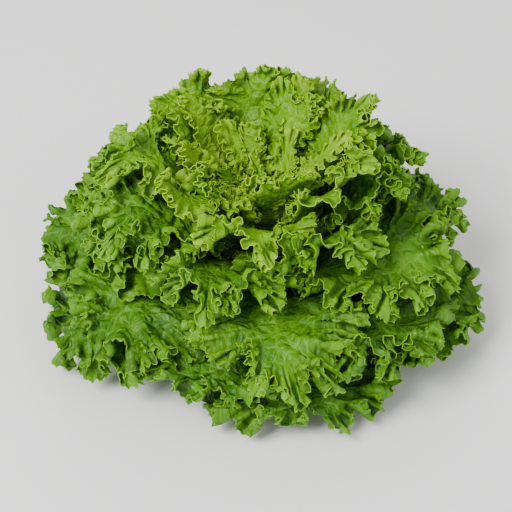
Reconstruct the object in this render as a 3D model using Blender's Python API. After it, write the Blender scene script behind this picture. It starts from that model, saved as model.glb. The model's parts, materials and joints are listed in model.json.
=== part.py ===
"""A head of frilly green leaf lettuce, standing on its cut stem.

The leaves grow in a spiral round a short conical stem. Each leaf lies in its own layer of a family of nested
layers, from the lowest and widest (share 0) to the steep ones round the heart (share 1). The waves of a leaf
stay inside the room that its neighbours leave, so no leaf crosses another. The small leaves at the growing tip
grow from one short shoot and are one body, the heart. Units are metres, +Z is up, the head's front is at -Y,
and the origin is the middle of the cut face of the stem.
"""

import math

import bmesh
import bpy
import numpy as np

# Driving dimensions of the head
HEAD_RADIUS = 0.140
HEAD_HEIGHT = 0.144
SQUASH = 0.07
LEAF_COUNT = 37
OUTER_LEAVES = 12
MIDDLE_LEAVES = 14
CROWDING = 0.10
SPIRAL_STEP = math.radians(137.508)
SPIRAL_START = math.radians(152.0)
SPIRAL_JITTER = math.radians(6.0)
SEED = 11

# The heart: small leaves on a short shoot above the stem
HEART_LEAVES = 8
HEART_FROM = 0.84
HEART_TO = 1.01
SHOOT_RADIUS = 0.0062
SHOOT_HEIGHT = 0.026
SHOOT_SIDES = 10
SHOOT_PROFILE = ((0.6, 0.0), (0.95, 0.08), (1.0, 0.4), (0.7, 0.8), (0.3, 1.0))
SHOOT_ROOT = (0.0035, 0.056)

# The stem is a cone, cut flat below and rounded above
STEM_RADIUS = 0.0150
STEM_TOP_RADIUS = 0.0048
STEM_HEIGHT = 0.050
STEM_SIDES = 20
STEM_EDGE = 0.001
STEM_DOME = 0.004
ROOT_GAP = 0.0015
LOWEST_ROOT = 0.009
HIGHEST_ROOT = 0.047

# The family of layers at five even stations, from the outermost layer to the heart
TIP_REACH = HEAD_RADIUS * np.array([1.00, 0.95, 0.72, 0.44, 0.11])
TIP_HEIGHT = HEAD_HEIGHT * np.array([0.04, 0.31, 0.68, 0.98, 0.70])
ROOT_SLOPE = np.radians([8.0, 34.0, 52.0, 60.0, 88.0])
TIP_SLOPE = np.radians([-50.0, -28.0, 2.0, 56.0, 84.0])
ROOT_PULL = 0.42
TIP_PULL = 0.36
HALF_WIDTH = np.array([0.066, 0.062, 0.051, 0.032, 0.0115])

# The outline of half a leaf, from root to tip: share of the length, share of the half width
OUTLINE = np.array(
    [
        (0.00, 0.145),
        (0.10, 0.12),
        (0.24, 0.22),
        (0.42, 0.60),
        (0.60, 0.93),
        (0.77, 1.00),
        (0.92, 0.80),
        (1.00, 0.42),
        (1.02, 0.00),
    ]
)
OUTLINE_STEPS = 65
LENGTH_STEPS = 40
SHARE_STEP = 0.005
WIDEST_AT = 0.72
RIB_END = 0.84
SLANT = 0.3
STALK_SHARE = 0.15
LENGTH_RANGE = (0.93, 1.03)
WIDTH_RANGE = (0.92, 1.08)

# Waves of the blade, counted on each half of a leaf, and the room that they may use
OUTER_WAVES = 7
INNER_WAVES = 5
HEART_WAVES = 3
WAVE_LENGTHS = (0.75, 1.25)
WAVE_SWINGS = (0.65, 1.0)
FULL_SWING_AFTER = 4
RUFFLE_POWER = 1.6
ROOM_USED = 0.73
WIDEST_ROOM = 0.05
ANGLE_MARGIN = math.radians(9.0)

# Rows of points from rim to rib, and how far apart the columns of the inner rows are
ROW_SHARES = (1.0, 0.66, 0.30, 0.0)
WIDE_STEP = 4
NARROW_STEP = 2
FIRST_COLUMN = 5

# Thicknesses, and how the lowest leaves bend clear of the surface below
BLADE = 0.0009
RIB_DEPTH = 0.0024
FLOOR_SOFTNESS = 0.005
FLOOR_GAP = 0.0006
SHARP_ANGLE = math.radians(50)

# Colours
OUTER_GREEN = (0.10, 0.27, 0.02)
MIDDLE_GREEN = (0.16, 0.37, 0.025)
INNER_GREEN = (0.27, 0.50, 0.04)
STEM_CREAM = (0.72, 0.74, 0.50)
LEAF_ROUGHNESS = 0.45
STEM_ROUGHNESS = 0.50


def at_share(stations, share):
    """The value of a row of even stations at a share from 0 to 1, on a smooth curve that runs on straight."""
    last = len(stations) - 1
    place = np.asarray(share, float) * last
    start = np.clip(np.floor(place), 0, last - 1).astype(int)
    t = place - start
    slopes = np.gradient(stations)
    low, high = stations[start], stations[start + 1]
    a, b = slopes[start], slopes[start + 1]
    inside = np.clip(t, 0, 1)
    curve = (
        (2 * inside**3 - 3 * inside**2 + 1) * low
        + (inside**3 - 2 * inside**2 + inside) * a
        + (3 * inside**2 - 2 * inside**3) * high
        + (inside**3 - inside**2) * b
    )
    return curve + (t - inside) * np.where(t > 1, b, a)


def stem_radius(height):
    """The radius of the stem at a height."""
    return STEM_RADIUS + (STEM_TOP_RADIUS - STEM_RADIUS) * np.clip(height / STEM_HEIGHT, 0, 1)


def layer_root(share):
    """Where a layer leaves the stem: distance from the axis and height."""
    height = LOWEST_ROOT + (HIGHEST_ROOT - LOWEST_ROOT) * share
    return stem_radius(height) + ROOT_GAP, height


def layer_point(share, s, root=None):
    """Distance from the axis and height of the point at s, 0 at the root and 1 at the tip, of a layer."""
    root_r, root_z = root or layer_root(share)
    tip_r, tip_z = at_share(TIP_REACH, share), at_share(TIP_HEIGHT, share)
    rise, end = at_share(ROOT_SLOPE, share), at_share(TIP_SLOPE, share)
    span = np.hypot(tip_r - root_r, tip_z - root_z)
    r1 = root_r + ROOT_PULL * span * np.cos(rise)
    z1 = root_z + ROOT_PULL * span * np.sin(rise)
    r2 = tip_r - TIP_PULL * span * np.cos(end)
    z2 = tip_z - TIP_PULL * span * np.sin(end)
    a, b, c, d = (1 - s) ** 3, 3 * s * (1 - s) ** 2, 3 * s**2 * (1 - s), s**3
    return (
        a * root_r + b * r1 + c * r2 + d * tip_r,
        a * root_z + b * z1 + c * z2 + d * tip_z,
    )


def layer_length(share):
    """The length of a layer's curve from the stem to the tip."""
    r, z = layer_point(share, np.linspace(0, 1, LENGTH_STEPS))
    return float(np.hypot(np.diff(r), np.diff(z)).sum())


def above_floor(height):
    """Heights bent clear of the surface that the head stands on, higher points hardly at all."""
    lifted = 0.5 * (height + np.sqrt(height**2 + FLOOR_SOFTNESS**2))
    return np.maximum(lifted, FLOOR_GAP)


class Leaf:
    """One leaf: its place in the spiral, its size and its waves."""

    def __init__(self, number, share, waves, rng):
        self.number = number
        self.share = share
        self.waves = waves
        self.root = SHOOT_ROOT if number >= LEAF_COUNT else None
        jitter = rng.uniform(-SPIRAL_JITTER, SPIRAL_JITTER)
        self.azimuth = SPIRAL_START + number * SPIRAL_STEP + jitter
        self.length = rng.uniform(*LENGTH_RANGE)
        self.half_width = at_share(HALF_WIDTH, share) * rng.uniform(*WIDTH_RANGE)
        self.last_column = 2 * waves + 1
        self.rims = {side: self.rim(rng, side) for side in (-1, 1)}

    def rim(self, rng, side):
        """Where the crests and troughs of one side fall along its rim, and how far each swings, up to 1."""
        halves = np.arange(1, 2 * self.waves + 1)
        lengths = rng.uniform(*WAVE_LENGTHS, len(halves))
        shares = STALK_SHARE + (1 - STALK_SHARE) * np.cumsum(lengths) / lengths.sum()
        swing = rng.uniform(*WAVE_SWINGS, len(halves)) * side * (-1.0) ** halves
        swing *= np.minimum(1, halves / FULL_SWING_AFTER)
        swing[-1] = 0
        return {
            "shares": np.concatenate([[0, STALK_SHARE], shares]),
            "swing": np.concatenate([[0, 0], swing]),
        }

    def half_angle(self):
        """Half of the angle that the leaf takes up round the axis at its widest."""
        r = layer_point(self.share, WIDEST_AT, self.root)[0]
        return self.half_width / float(r)

    def turn(self, s, x):
        """The angle round the axis of a point at s along the leaf and x beside its rib."""
        return self.azimuth + x / layer_point(self.share, s, self.root)[0]

    def outline(self, rim_share):
        """Place along the leaf, and distance from the rib, of the point at a share of the rim's length."""
        steps = np.linspace(0, 1, OUTLINE_STEPS)
        s = at_share(OUTLINE[:, 0], steps)
        x = np.clip(at_share(OUTLINE[:, 1], steps), 0, None) * self.half_width
        run = np.hypot(np.diff(s) * layer_length(self.share), np.diff(x))
        run = np.concatenate([[0], np.cumsum(run)]) / run.sum()
        return np.interp(rim_share, run, s), np.interp(rim_share, run, x)

    def flat_place(self, side, column, row):
        """Place along the leaf and beside its rib of a grid point, before the waves."""
        stations = np.arange(self.last_column + 1)
        s_rim, x_rim = self.outline(np.interp(column, stations, self.rims[side]["shares"]))
        along = SLANT * column / self.last_column + (1 - SLANT) * s_rim / OUTLINE[-1, 0]
        s_rib = RIB_END * along
        return self.length * (s_rib + (s_rim - s_rib) * row), side * x_rim * row

    def give_room(self, others):
        """Scales the waves of both rims to the room that the other leaves leave at each crest and trough."""
        for side, rim in self.rims.items():
            swing = rim["swing"]
            for column in range(len(swing)):
                rooms = [WIDEST_ROOM]
                for row in ROW_SHARES[:-1]:
                    turn = self.turn(*self.flat_place(side, column, row))
                    gap = self.gap_at(turn, swing[column] > 0, others)
                    rooms.append(ROOM_USED * gap / 2 / row**RUFFLE_POWER)
                swing[column] *= min(rooms)

    def gap_at(self, turn, upward, others):
        """How far, in shares, the next leaf is that reaches an angle round the axis, on one face."""
        gaps = [math.inf]
        for other in others:
            apart = abs(math.remainder(other.azimuth - turn, math.tau))
            if (other.share > self.share) == upward and apart < other.half_angle() + ANGLE_MARGIN:
                gaps.append(abs(other.share - self.share))
        return min(gaps)

    def points(self, side, column, row):
        """Points of the middle of the blade, with columns from root to tip and rows from rib to rim."""
        s, x = self.flat_place(side, column, row)
        stations = np.arange(self.last_column + 1)
        swing = np.interp(column, stations, self.rims[side]["swing"])
        r, z = layer_point(self.share + swing * row**RUFFLE_POWER, s, self.root)
        turn = self.turn(s, x)
        depth = 1 - SQUASH * r / HEAD_RADIUS
        return np.stack([r * np.cos(turn), depth * r * np.sin(turn), above_floor(z)], -1)


    def across(self, side, column, row):
        """Unit directions in which the waves swing, towards the heart, at points of the blade."""
        s, x = self.flat_place(side, column, row)
        near = np.maximum(s, SHARE_STEP * 10)
        low_r, low_z = layer_point(self.share - SHARE_STEP, near, self.root)
        high_r, high_z = layer_point(self.share + SHARE_STEP, near, self.root)
        out, up = high_r - low_r, high_z - low_z
        size = np.hypot(out, up)
        turn = self.turn(s, x)
        return np.stack([out * np.cos(turn), out * np.sin(turn), up], -1) / size[:, None]


def spread_leaves():
    """All the leaves, outermost first, with those of the heart last."""
    rng = np.random.default_rng(SEED)
    even = np.linspace(0, 1, LEAF_COUNT)
    shares = HEART_FROM * even * (1 + CROWDING - CROWDING * even)
    leaves = []
    for number, share in enumerate(shares):
        waves = OUTER_WAVES if number < OUTER_LEAVES + MIDDLE_LEAVES else INNER_WAVES
        leaves.append(Leaf(number, share, waves, rng))
    for number, share in enumerate(np.linspace(HEART_FROM, HEART_TO, HEART_LEAVES + 1)[1:]):
        leaves.append(Leaf(LEAF_COUNT + number, share, HEART_WAVES, rng))
    for leaf in leaves:
        leaf.give_room([other for other in leaves if other is not leaf])
    return leaves


def stitch(first, second):
    """Triangles between two rows of (column, vertex), each from its first column to its last."""
    faces, i, j = [], 0, 0
    while i < len(first) - 1 or j < len(second) - 1:
        next_first = first[i + 1][0] if i < len(first) - 1 else math.inf
        next_second = second[j + 1][0] if j < len(second) - 1 else math.inf
        if next_first < next_second:
            faces.append((first[i][1], first[i + 1][1], second[j][1]))
            i += 1
        else:
            faces.append((first[i][1], second[j + 1][1], second[j][1]))
            j += 1
    return faces


def blade_grid(leaf):
    """The places (side, column, row) of a blade's points, its triangles, and its border in order."""
    last = leaf.last_column
    step = WIDE_STEP if leaf.waves == OUTER_WAVES else NARROW_STEP
    every = list(range(last + 1))
    few = [*range(FIRST_COLUMN), *range(FIRST_COLUMN, last - 1, step), last]
    columns = dict(zip(ROW_SHARES, (every, every, few, few)))
    places, index, faces = [], {}, []

    def vertex(side, column, row):
        shared = row == 0.0 or column == last
        key = (0 if shared else side, column, row)
        if key not in index:
            index[key] = len(places)
            places.append((side, column, row))
        return index[key]

    border = {}
    for side in (-1, 1):
        rows = [[(c, vertex(side, c, share)) for c in columns[share]] for share in ROW_SHARES]
        for outer, inner in zip(rows, rows[1:]):
            made = stitch(outer, inner)
            faces += made if side > 0 else [(a, c, b) for a, b, c in made]
        border[side] = [v for _, v in rows[0]]
        border[side, "root"] = [row[0][1] for row in rows]
    ring = border[1] + border[-1][-2::-1]
    ring += border[-1, "root"][1:] + border[1, "root"][-2:0:-1]
    return places, faces, ring


def blade_mesh(leaf):
    """The closed mesh of a leaf: a thin waved blade with its rib below."""
    places, faces, ring = blade_grid(leaf)
    side, column, row = np.array(places, float).T
    middle, across = np.empty((len(places), 3)), np.empty((len(places), 3))
    for one in (-1, 1):
        mine = side == one
        middle[mine] = leaf.points(one, column[mine], row[mine])
        across[mine] = leaf.across(one, column[mine], row[mine])
    size = leaf.half_width / HALF_WIDTH[0]
    rib = RIB_DEPTH * size * np.clip(1 - column / leaf.last_column, 0, 1) * (row == 0)
    upper = middle + across * BLADE / 2
    lower = middle - across * (BLADE / 2 + rib)[:, None]
    count = len(places)
    mesh = bmesh.new()
    verts = [mesh.verts.new(p) for p in np.concatenate([upper, lower])]
    for a, b, c in faces:
        mesh.faces.new((verts[a], verts[b], verts[c]))
        mesh.faces.new((verts[count + a], verts[count + c], verts[count + b]))
    for a, b in zip(ring, ring[1:] + ring[:1]):
        mesh.faces.new((verts[b], verts[a], verts[count + a]))
        mesh.faces.new((verts[b], verts[count + a], verts[count + b]))
    bmesh.ops.recalc_face_normals(mesh, faces=mesh.faces)
    return mesh


def turned_mesh(profile, sides):
    """A closed solid turned round the axis, from its lowest (radius, height) to its highest."""
    mesh = bmesh.new()
    turns = [math.tau * i / sides for i in range(sides)]
    rings = [
        [mesh.verts.new((r * math.cos(t), r * math.sin(t), z)) for t in turns]
        for r, z in profile
    ]
    for low, high in zip(rings, rings[1:]):
        for i in range(sides):
            j = (i + 1) % sides
            mesh.faces.new((low[i], low[j], high[j], high[i]))
    mesh.faces.new(rings[0][::-1])
    mesh.faces.new(rings[-1])
    return mesh


def add_object(name, mesh, material, collection=None):
    """A scene object from a bmesh, shaded smooth."""
    data = bpy.data.meshes.new(name)
    mesh.to_mesh(data)
    mesh.free()
    data.materials.append(material)
    data.shade_smooth()
    data.set_sharp_from_angle(angle=SHARP_ANGLE)
    made = bpy.data.objects.new(name, data)
    (collection or bpy.context.scene.collection).objects.link(made)
    return made


def add_material(name, colour, roughness):
    """A plain plant material."""
    material = bpy.data.materials.new(name)
    material.use_nodes = True
    shader = material.node_tree.nodes["Principled BSDF"]
    shader.inputs["Base Color"].default_value = (*colour, 1)
    shader.inputs["Roughness"].default_value = roughness
    shader.inputs["Metallic"].default_value = 0.0
    return material


def add_stem(material):
    """The stem: a cone with a flat cut face below and a rounded top."""
    profile = [(STEM_RADIUS - STEM_EDGE, 0.0), (STEM_RADIUS, STEM_EDGE)]
    for height in (STEM_HEIGHT * 0.2, STEM_HEIGHT * 0.5, STEM_HEIGHT - STEM_DOME):
        profile.append((float(stem_radius(height)), height))
    profile.append((STEM_TOP_RADIUS * 0.6, STEM_HEIGHT - STEM_EDGE))
    return add_object("stem", turned_mesh(profile, STEM_SIDES), material)


def largest_shell(data):
    """The mesh without the scraps and sealed hollows that a union leaves: its largest connected skin."""
    mesh = bmesh.new()
    mesh.from_mesh(data)
    unseen = set(mesh.verts)
    shells = []
    while unseen:
        shell, edge = set(), [next(iter(unseen))]
        while edge:
            vert = edge.pop()
            if vert not in shell:
                shell.add(vert)
                edge += [e.other_vert(vert) for e in vert.link_edges]
        unseen -= shell
        shells.append(shell)
    largest = max(shells, key=len)
    bmesh.ops.delete(mesh, geom=[v for v in mesh.verts if v not in largest], context="VERTS")
    mesh.to_mesh(data)
    mesh.free()
    return data


def add_heart(leaves, material):
    """The heart: a short shoot with the small leaves that it carries, joined in one body."""
    repeats = bpy.data.collections.new("heart_leaves")
    bpy.context.scene.collection.children.link(repeats)
    for leaf in leaves:
        add_object(f"heart_leaf_{leaf.number}", blade_mesh(leaf), material, repeats)
    foot = STEM_HEIGHT + ROOT_GAP
    profile = [(SHOOT_RADIUS * wide, foot + SHOOT_HEIGHT * high) for wide, high in SHOOT_PROFILE]
    heart = add_object("heart", turned_mesh(profile, SHOOT_SIDES), material)
    union = heart.modifiers.new("join leaves", "BOOLEAN")
    union.operation = "UNION"
    union.solver = "MANIFOLD"
    union.operand_type = "COLLECTION"
    union.collection = repeats
    graph = bpy.context.evaluated_depsgraph_get()
    joined = bpy.data.meshes.new_from_object(heart.evaluated_get(graph))
    heart.modifiers.clear()
    heart.data = largest_shell(joined)
    for made in list(repeats.objects):
        bpy.data.objects.remove(made)
    bpy.data.collections.remove(repeats)
    return heart


def leaf_name(number):
    """The name of a leaf by its tier, counted from outside."""
    if number < OUTER_LEAVES:
        return f"outer_leaf_{number + 1:02d}"
    if number < OUTER_LEAVES + MIDDLE_LEAVES:
        return f"middle_leaf_{number - OUTER_LEAVES + 1:02d}"
    return f"inner_leaf_{number - OUTER_LEAVES - MIDDLE_LEAVES + 1:02d}"


def main():
    """Clears the scene and builds the head."""
    for old in list(bpy.data.objects):
        bpy.data.objects.remove(old)
    tiers = {
        "outer": add_material("outer_leaf_green", OUTER_GREEN, LEAF_ROUGHNESS),
        "middle": add_material("middle_leaf_green", MIDDLE_GREEN, LEAF_ROUGHNESS),
        "inner": add_material("inner_leaf_green", INNER_GREEN, LEAF_ROUGHNESS),
    }
    add_stem(add_material("stem_cream", STEM_CREAM, STEM_ROUGHNESS))
    leaves = spread_leaves()
    for leaf in leaves[:LEAF_COUNT]:
        name = leaf_name(leaf.number)
        add_object(name, blade_mesh(leaf), tiers[name.split("_")[0]])
    add_heart(leaves[LEAF_COUNT:], tiers["inner"])


main()
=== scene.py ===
"""A head of frilly green leaf lettuce: fine ruffled leaves round a cut stem, on a plain pale floor.

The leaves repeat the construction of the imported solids: the same spiral, the same nested layers and the
same crests and troughs, drawn in the same order. Here each blade gets its small frills, teeth, puffs and
veins too.
"""

import json
import logging
import math
from dataclasses import dataclass, field, fields
from enum import Enum

import bpy
import numpy as np
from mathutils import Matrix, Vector

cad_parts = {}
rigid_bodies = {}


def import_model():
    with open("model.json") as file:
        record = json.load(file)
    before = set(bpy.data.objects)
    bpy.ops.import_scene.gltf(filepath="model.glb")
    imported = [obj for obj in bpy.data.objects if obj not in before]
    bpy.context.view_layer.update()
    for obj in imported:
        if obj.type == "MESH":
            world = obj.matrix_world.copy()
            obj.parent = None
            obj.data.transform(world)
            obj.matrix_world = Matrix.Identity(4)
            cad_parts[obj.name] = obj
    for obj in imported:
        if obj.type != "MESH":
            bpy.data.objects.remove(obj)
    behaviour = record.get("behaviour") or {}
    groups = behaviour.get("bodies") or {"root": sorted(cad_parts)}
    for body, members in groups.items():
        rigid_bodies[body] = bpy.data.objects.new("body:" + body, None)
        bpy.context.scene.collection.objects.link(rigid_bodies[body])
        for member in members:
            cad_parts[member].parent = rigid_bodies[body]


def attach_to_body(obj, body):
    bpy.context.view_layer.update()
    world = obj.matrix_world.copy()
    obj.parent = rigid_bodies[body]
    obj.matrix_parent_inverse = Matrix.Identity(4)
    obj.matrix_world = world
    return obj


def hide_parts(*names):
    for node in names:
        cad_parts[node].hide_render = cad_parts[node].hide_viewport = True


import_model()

LOG = logging.getLogger("lettuce")
BODY = "root"
SIDES = (-1, 1)

Array = np.ndarray
Values = Array | float
Pair = tuple[Array, Array]
Colour = tuple[float, float, float]
Place = tuple[float, float, float]
Settings = dict[str, object]
Inputs = dict[int | str, object]


class Tier(Enum):
    """The rings of leaves, from the outside in, each named as its material slot begins."""

    OUTER = "outer"
    MIDDLE = "middle"
    INNER = "inner"
    HEART = "heart"


class RimNoise(Enum):
    """The patterns of noise along the rim, one for each thing that they vary."""

    LOBE = 3
    TOOTH = 9
    BAY = 12
    FRILL_PLACE = 20
    FRILL_HEIGHT = 21
    CURL_PLACE = 22
    CURL_HEIGHT = 23


class BladeNoise(Enum):
    """The patterns of noise over the blade, one for each thing that they vary."""

    SWAY = 1
    FRILL_LAG = 2
    PUFF_BEND = 3
    PUFF = 4
    SMALL_PUFF = 5


class Sum(Enum):
    """What a Math node works out."""

    ADD = "ADD"
    SUBTRACT = "SUBTRACT"
    MULTIPLY = "MULTIPLY"
    MULTIPLY_ADD = "MULTIPLY_ADD"
    DIVIDE = "DIVIDE"
    POWER = "POWER"
    ABSOLUTE = "ABSOLUTE"
    FRACTION = "FRACT"


def at_share(stations: tuple[float, ...] | Array, share: Values) -> Array:
    """Reads a row of even stations at a share from 0 to 1, on a smooth curve that runs on straight.

    Args:
        stations: the values at even shares.
        share: where to read them.

    Returns:
        The value or values there.
    """
    stations, last = np.asarray(stations, float), len(stations) - 1
    place = np.asarray(share, float) * last
    start = np.clip(np.floor(place), 0, last - 1).astype(int)
    t = place - start
    slopes = np.gradient(stations)
    low, high = stations[start], stations[start + 1]
    a, b = slopes[start], slopes[start + 1]
    inside = np.clip(t, 0, 1)
    curve = (
        (2 * inside**3 - 3 * inside**2 + 1) * low
        + (inside**3 - 2 * inside**2 + inside) * a
        + (3 * inside**2 - 2 * inside**3) * high
        + (inside**3 - inside**2) * b
    )
    return curve + (t - inside) * np.where(t > 1, b, a)


def ramp(value: Array, low: float, high: float) -> Array:
    """A smooth rise from 0 at low to 1 at high.

    Args:
        value: where to read it.
        low: where the rise starts.
        high: where it ends.

    Returns:
        The height of the rise at each value.
    """
    t = np.clip((value - low) / (high - low), 0, 1)
    return t * t * (3 - 2 * t)


def noise(x: Array, y: Array, seed: int) -> Array:
    """Smooth gradient noise on a unit grid, about -1 to 1.

    Args:
        x: first coordinate.
        y: second coordinate.
        seed: which of the many patterns.

    Returns:
        The noise at each point.
    """
    gx, gy = np.floor(x).astype(np.int64), np.floor(y).astype(np.int64)
    fx, fy = x - gx, y - gy

    def corner(dx: int, dy: int) -> Array:
        """The part that one grid corner adds.

        Args:
            dx: 0 for the corners at the left of each point, 1 for those at its right.
            dy: the same for those below and above.

        Returns:
            The part at each point.
        """
        key = (gx + dx) * 374761393 + (gy + dy) * 668265263 + seed * 1274126177
        key = (key ^ (key >> 13)) * 1103515245
        turn = ((key ^ (key >> 16)) & 1023) * (math.tau / 1024)
        return np.cos(turn) * (fx - dx) + np.sin(turn) * (fy - dy)

    u, v = (f * f * f * (f * (f * 6 - 15) + 10) for f in (fx, fy))
    low = corner(0, 0) * (1 - u) + corner(1, 0) * u
    high = corner(0, 1) * (1 - u) + corner(1, 1) * u
    return 1.5 * (low * (1 - v) + high * v)


@dataclass(frozen=True)
class StemSizes:
    """The cut stem: a cone, flat below and rounded above."""

    radius: float = 0.0150
    top_radius: float = 0.0048
    height: float = 0.050
    edge: float = 0.001
    dome: float = 0.004
    gap: float = 0.0015
    lowest_root: float = 0.009
    highest_root: float = 0.047

    def radius_at(self, height: Values) -> Array:
        """The radius of the stem at a height."""
        return self.radius + (self.top_radius - self.radius) * np.clip(height / self.height, 0, 1)

    def root(self, share: Values) -> Pair:
        """Where a layer leaves the stem.

        Args:
            share: the layer, from 0 outermost to 1 at the heart.

        Returns:
            Its distance from the axis, and its height.
        """
        height = self.lowest_root + (self.highest_root - self.lowest_root) * share
        return self.radius_at(height) + self.gap, height


@dataclass(frozen=True)
class HeadSizes:
    """The whole head: how many leaves it has, and the nested layers that they lie in."""

    radius: float = 0.140
    height: float = 0.144
    squash: float = 0.07
    rings: tuple[tuple[Tier, int], ...] = ((Tier.OUTER, 12), (Tier.MIDDLE, 14), (Tier.INNER, 11))
    heart_leaves: int = 8
    heart_from: float = 0.84
    heart_to: float = 1.01
    small_leaflets: int = 12
    small_from: float = 0.70
    small_to: float = 1.05
    small_width: float = 0.62
    small_swing: float = 0.022
    crowding: float = 0.10
    spiral_step: float = math.radians(137.508)
    spiral_start: float = math.radians(152.0)
    spiral_jitter: float = math.radians(6.0)
    seed: int = 11
    stem: StemSizes = StemSizes()
    shoot_root: tuple[float, float] = (0.0035, 0.056)
    reach: tuple[float, ...] = (1.00, 0.95, 0.72, 0.44, 0.11)
    rise: tuple[float, ...] = (0.04, 0.31, 0.68, 0.98, 0.70)
    root_slope: tuple[float, ...] = (8.0, 34.0, 52.0, 60.0, 88.0)
    tip_slope: tuple[float, ...] = (-50.0, -28.0, 2.0, 56.0, 84.0)
    root_pull: float = 0.42
    tip_pull: float = 0.36

    def layer_point(self, share: Values, s: Values, root: tuple[float, float] | None) -> Pair:
        """A point of a layer's curve.

        Args:
            share: the layer, from 0 outermost to 1 at the heart.
            s: the place along the curve, 0 at the root and 1 at the tip.
            root: where the curve starts, or None for its place on the stem.

        Returns:
            Its distance from the axis, and its height.
        """
        root_r, root_z = root or self.stem.root(share)
        tip_r = self.radius * at_share(self.reach, share)
        tip_z = self.height * at_share(self.rise, share)
        rise = at_share(np.radians(self.root_slope), share)
        end = at_share(np.radians(self.tip_slope), share)
        span = np.hypot(tip_r - root_r, tip_z - root_z)
        r1 = root_r + self.root_pull * span * np.cos(rise)
        z1 = root_z + self.root_pull * span * np.sin(rise)
        r2 = tip_r - self.tip_pull * span * np.cos(end)
        z2 = tip_z - self.tip_pull * span * np.sin(end)
        a, b, c, d = (1 - s) ** 3, 3 * s * (1 - s) ** 2, 3 * s**2 * (1 - s), s**3
        return a * root_r + b * r1 + c * r2 + d * tip_r, a * root_z + b * z1 + c * z2 + d * tip_z

    def layer_length(self, share: float) -> float:
        """The length of a layer's curve from the stem to the tip."""
        r, z = self.layer_point(share, np.linspace(0, 1, 40), None)
        return float(np.hypot(np.diff(r), np.diff(z)).sum())

    def spiral_shares(self) -> list[float]:
        """Spreads the leaves over the layers.

        Returns:
            The layer of each leaf, outermost first and the heart's last.
        """
        even = np.linspace(0, 1, sum(count for _, count in self.rings))
        free = self.heart_from * even * (1 + self.crowding - self.crowding * even)
        heart = np.linspace(self.heart_from, self.heart_to, self.heart_leaves + 1)[1:]
        return [float(share) for share in (*free, *heart)]

    def ring_place(self, number: int) -> tuple[Tier, int]:
        """Finds where a leaf stands in its ring.

        Args:
            number: the leaf's place in the spiral, from 0.

        Returns:
            The ring, and the leaf's place in it, from 1.
        """
        for tier, count in self.rings:
            if number < count:
                return tier, number + 1
            number -= count
        return Tier.HEART, number + 1


@dataclass(frozen=True)
class BladeSizes:
    """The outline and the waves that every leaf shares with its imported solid."""

    half_width: tuple[float, ...] = (0.066, 0.062, 0.051, 0.032, 0.0115)
    outline_along: tuple[float, ...] = (0.00, 0.10, 0.24, 0.42, 0.60, 0.77, 0.92, 1.00, 1.02)
    outline_beside: tuple[float, ...] = (0.145, 0.12, 0.22, 0.60, 0.93, 1.00, 0.80, 0.42, 0.00)
    outline_steps: int = 65
    widest_at: float = 0.72
    rib_end: float = 0.84
    slant: float = 0.3
    stalk_share: float = 0.15
    length_range: tuple[float, float] = (0.93, 1.03)
    width_range: tuple[float, float] = (0.92, 1.08)
    waves: dict[Tier, int] = field(
        default_factory=lambda: {Tier.OUTER: 7, Tier.MIDDLE: 7, Tier.INNER: 5, Tier.HEART: 3}
    )
    wave_lengths: tuple[float, float] = (0.75, 1.25)
    wave_swings: tuple[float, float] = (0.65, 1.0)
    full_swing_after: int = 4
    ruffle_power: float = 1.6
    room_used: float = 0.73
    widest_room: float = 0.05
    angle_margin: float = math.radians(9.0)
    room_rows: tuple[float, ...] = (1.0, 0.66, 0.30)
    floor_softness: float = 0.005
    floor_gap: float = 0.0006


@dataclass(frozen=True)
class FrillSizes:
    """The fine relief of a blade, in metres, for a leaf of full width."""

    ruffle_gain: float = 1.66
    meander: float = 0.17
    frill_length: float = 0.0125
    frill_height: float = 0.0051
    frill_meander: float = 0.115
    frill_from: float = 0.34
    frill_power: float = 0.9
    frill_lag: float = 0.22
    curl_length: float = 0.0080
    curl_height: float = 0.0016
    curl_from: float = 0.70
    tooth_length: float = 0.0050
    tooth_depth: float = 0.0024
    lobe_length: float = 0.017
    lobe_depth: float = 0.0060
    bay_length: float = 0.040
    bay_depth: float = 0.021
    puff_length: float = 0.0110
    puff_height: float = 0.0040
    sway_length: float = 0.038
    sway_height: float = 0.0080
    frill_wander: float = 0.028
    frill_swell: float = 0.035
    frill_lag_length: float = 0.012
    curl_wander: float = 0.017
    curl_swell: float = 0.023
    tooth_swell: float = 0.014
    puff_bend: float = 0.020
    hidden_columns: float = 0.38
    hidden_weight: float = 0.30
    side_veins: int = 9
    least_scale: float = 0.42
    vigour: tuple[float, float] = (0.85, 1.15)
    lean: tuple[float, float] = (-0.10, 0.05)
    lean_from: tuple[float, float] = (0.15, 0.35)
    lean_to: tuple[float, float] = (0.84, 0.95)
    blade: float = 0.0004
    rib_width: float = 0.0042
    rib_depth: float = 0.0026
    rib_dip: float = 0.0007
    rib_shares: tuple[float, float] = (1.0, 0.22)


@dataclass(frozen=True)
class NetSizes:
    """How fine the net of a blade is, in zones from the rib to the rim."""

    steps: tuple[int, ...] = (4, 8, 16, 32)
    rows: tuple[int, ...] = (5, 4, 3, 3)
    zones: tuple[float, ...] = (0.0, 0.36, 0.62, 0.86, 1.0)
    dense: int = 40


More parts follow.
